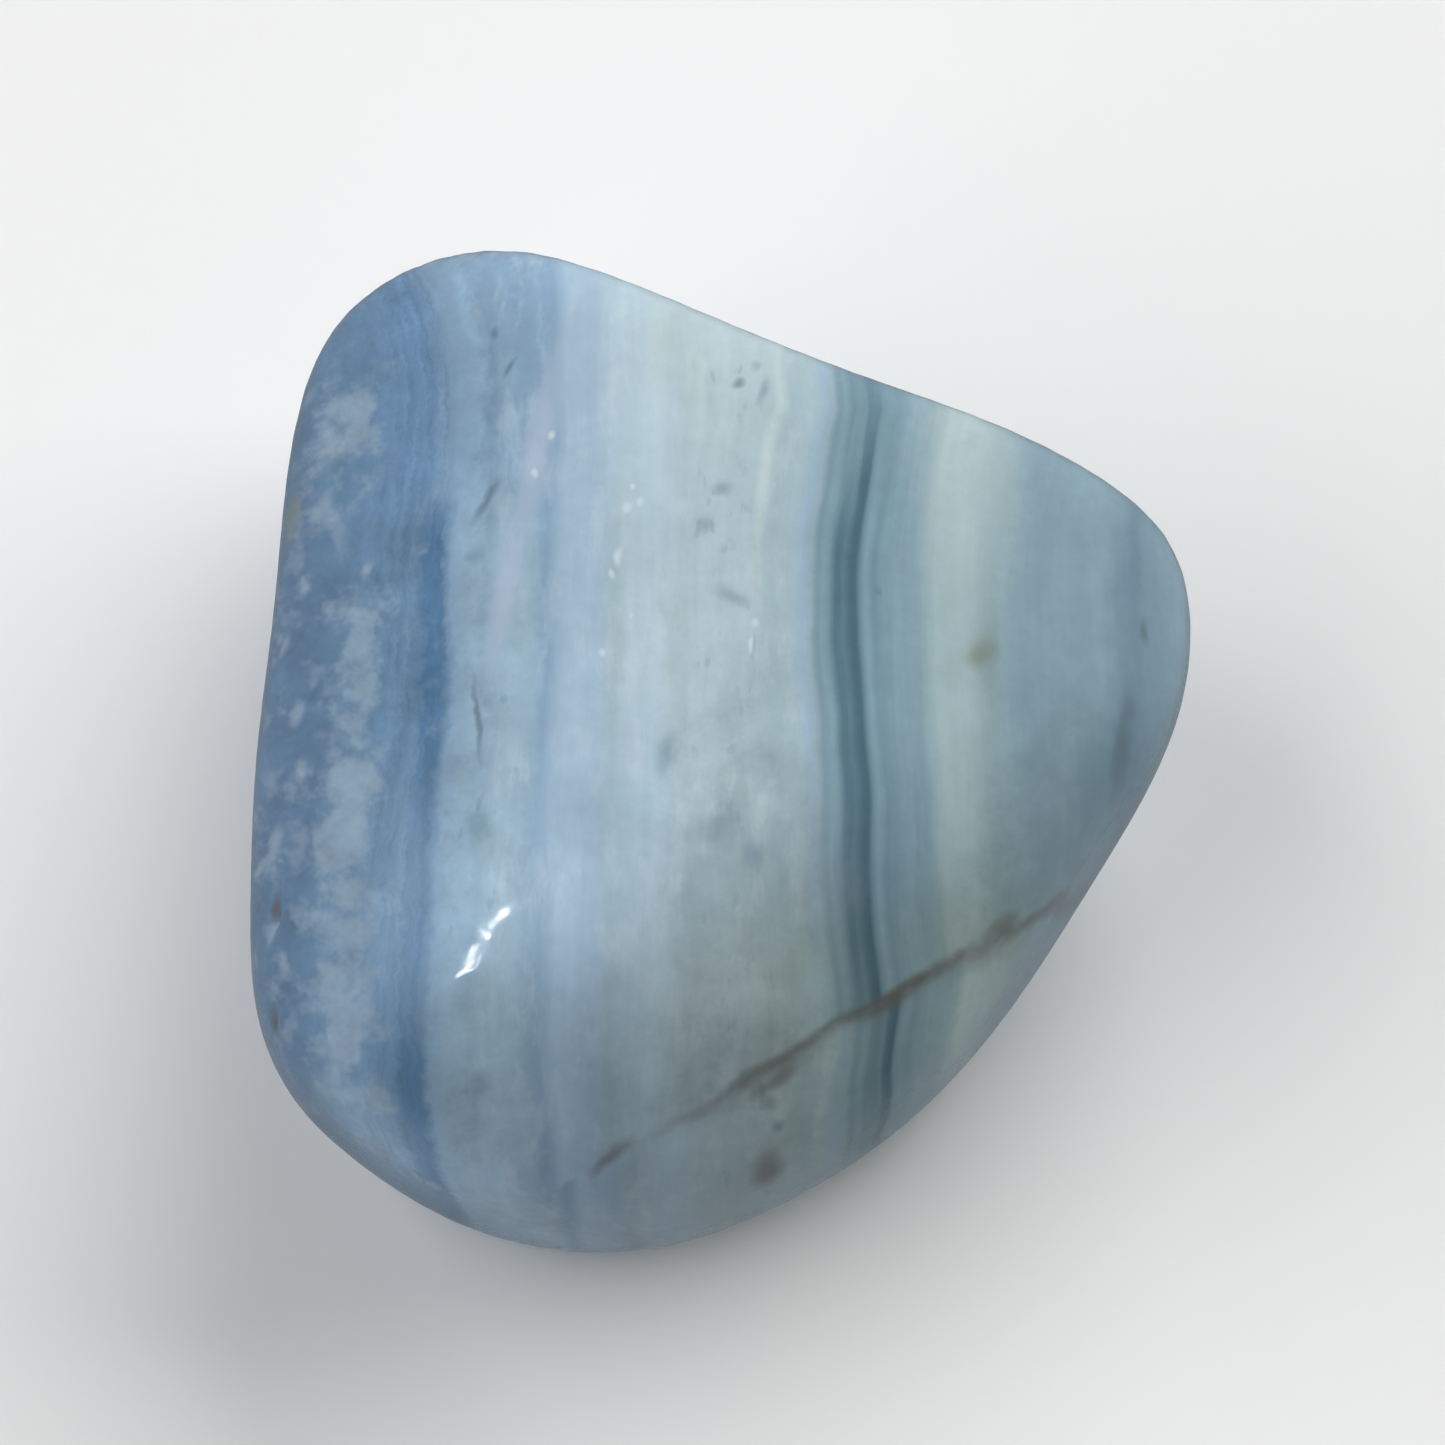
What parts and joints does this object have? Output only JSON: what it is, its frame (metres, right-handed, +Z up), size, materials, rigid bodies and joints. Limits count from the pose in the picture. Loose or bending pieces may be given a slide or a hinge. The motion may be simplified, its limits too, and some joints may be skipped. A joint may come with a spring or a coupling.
{
  "type": "tumbled blue lace agate",
  "caption": "Tumbled and polished pebble of banded blue chalcedony with a rounded triangular outline, lying on a flat worn face.",
  "frame": {"origin": "the middle of the bounding box in X and Y, at the height of the flat face that the stone rests on", "axes": "+Z up out of the broad top, its shortest way; +Y along its longest way, from the rounded front to the back; +X towards the nose"},
  "size_m": [0.0288, 0.0322, 0.0176],
  "materials": {
    "banded_chalcedony": "polished"
  },
  "bodies": {
    "root": {"agate_stone": "banded_chalcedony"}
  },
  "joints": []
}
